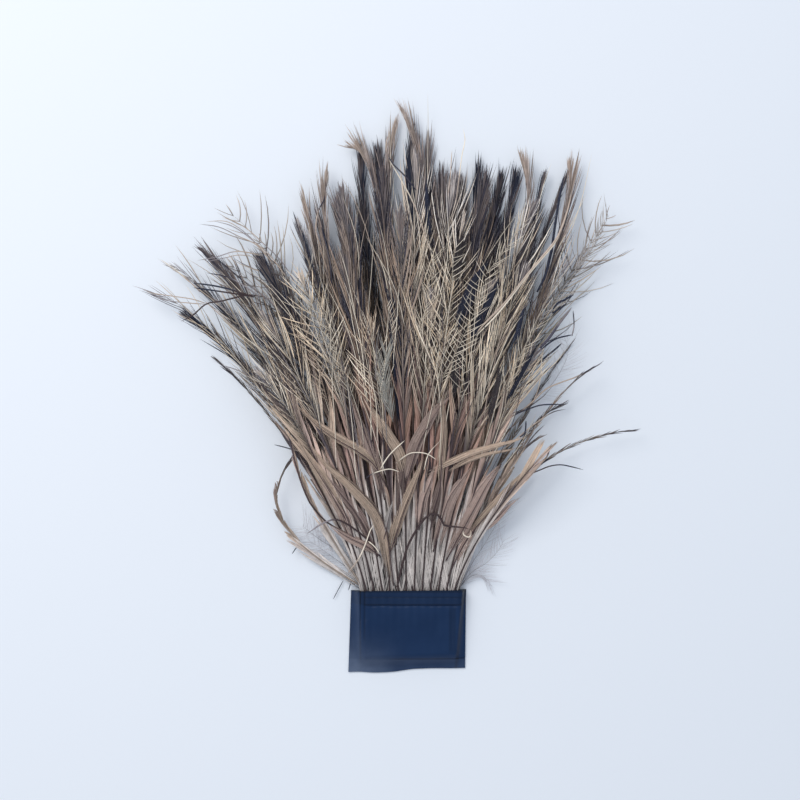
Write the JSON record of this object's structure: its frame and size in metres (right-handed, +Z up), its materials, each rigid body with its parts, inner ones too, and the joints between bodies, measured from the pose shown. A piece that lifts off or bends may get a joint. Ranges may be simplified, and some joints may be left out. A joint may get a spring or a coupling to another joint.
{
  "type": "emu feather bunch",
  "caption": "Fan-shaped bunch of long loose-barbed emu feathers, tan with dark tips, whose quills are held in a flat wrap of black tape.",
  "frame": {"origin": "middle of the tape wrap's flat underside, on the surface that the bunch lies on", "axes": "+Y runs along the feathers from the wrap to the tips, +Z is up from the surface, +X is to the right seen from above"},
  "size_m": [0.2801, 0.3266, 0.0248],
  "materials": {
    "tan_feather": "matte tan and cream barbs with fine dark shafts",
    "dark_feather": "matte brown-black barbs, darkest at the tips",
    "black_tape": "satin black vinyl tape with pressed-in creases"
  },
  "bodies": {
    "root": {"tape_wrap": "black_tape", "bottom_feather_1": "dark_feather", "bottom_feather_2": "dark_feather", "bottom_feather_3": "dark_feather", "bottom_feather_4": "dark_feather", "bottom_feather_5": "dark_feather", "bottom_feather_6": "dark_feather", "lower_feather_1": "dark_feather", "lower_feather_2": "dark_feather", "lower_feather_3": "dark_feather", "lower_feather_4": "dark_feather", "lower_feather_5": "dark_feather", "lower_feather_6": "dark_feather", "low_middle_feather_1": "tan_feather", "low_middle_feather_2": "tan_feather", "low_middle_feather_3": "tan_feather", "low_middle_feather_4": "tan_feather", "low_middle_feather_5": "tan_feather", "low_middle_feather_6": "tan_feather", "high_middle_feather_1": "tan_feather", "high_middle_feather_2": "tan_feather", "high_middle_feather_3": "tan_feather", "high_middle_feather_4": "tan_feather", "high_middle_feather_5": "tan_feather", "high_middle_feather_6": "tan_feather", "upper_feather_1": "tan_feather", "upper_feather_2": "tan_feather", "upper_feather_3": "tan_feather", "upper_feather_4": "tan_feather", "upper_feather_5": "tan_feather", "upper_feather_6": "tan_feather", "top_feather_1": "tan_feather", "top_feather_2": "tan_feather", "top_feather_3": "tan_feather", "top_feather_4": "tan_feather", "top_feather_5": "tan_feather", "top_feather_6": "tan_feather"}
  },
  "joints": []
}
